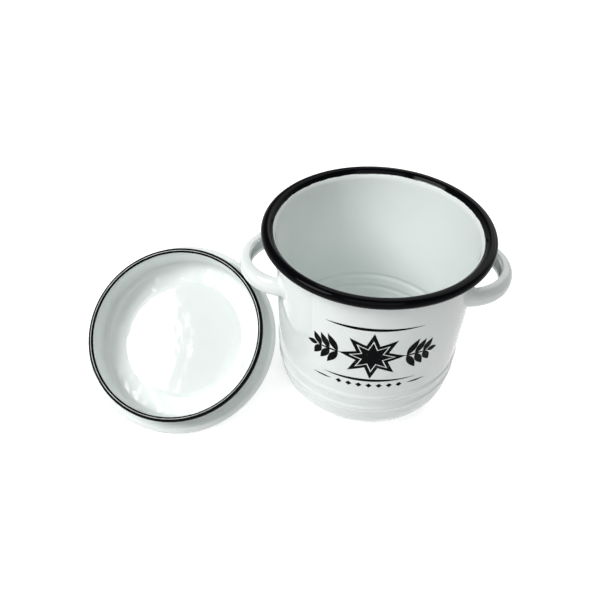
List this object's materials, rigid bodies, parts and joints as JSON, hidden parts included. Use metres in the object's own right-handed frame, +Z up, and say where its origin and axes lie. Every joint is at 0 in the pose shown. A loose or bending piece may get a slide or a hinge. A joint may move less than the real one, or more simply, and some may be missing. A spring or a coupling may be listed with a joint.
{
  "type": "lidded enamel kitchen container",
  "caption": "Round two-handled white enamel pot with a black rolled rim, shown open, and its inset knob lid lying upside down beside it.",
  "frame": {"origin": "centre of the pot's flat base, on the surface that it stands on", "axes": "+Z up, +X through one handle, -Y out of the printed front of the pot"},
  "size_m": [0.2414, 0.1241, 0.1111],
  "materials": {
    "white_enamel": "glossy vitreous enamel, white",
    "black_enamel": "glossy vitreous enamel, black"
  },
  "bodies": {
    "pot": {"pot_body": "white_enamel", "pot_rim": "black_enamel", "handle_right": "white_enamel", "handle_left": "white_enamel", "handle_right_welds": "white_enamel", "handle_left_welds": "white_enamel"},
    "lid": {"lid_body": "white_enamel", "lid_edge": "black_enamel", "lid_knob": "white_enamel", "lid_knob_weld": "white_enamel"}
  },
  "joints": [
    {"name": "lid_lift", "type": "slide", "parent": "pot", "child": "lid", "axis": [-0.6, 0, 0.8], "range_m": [0, 0.18]}
  ]
}
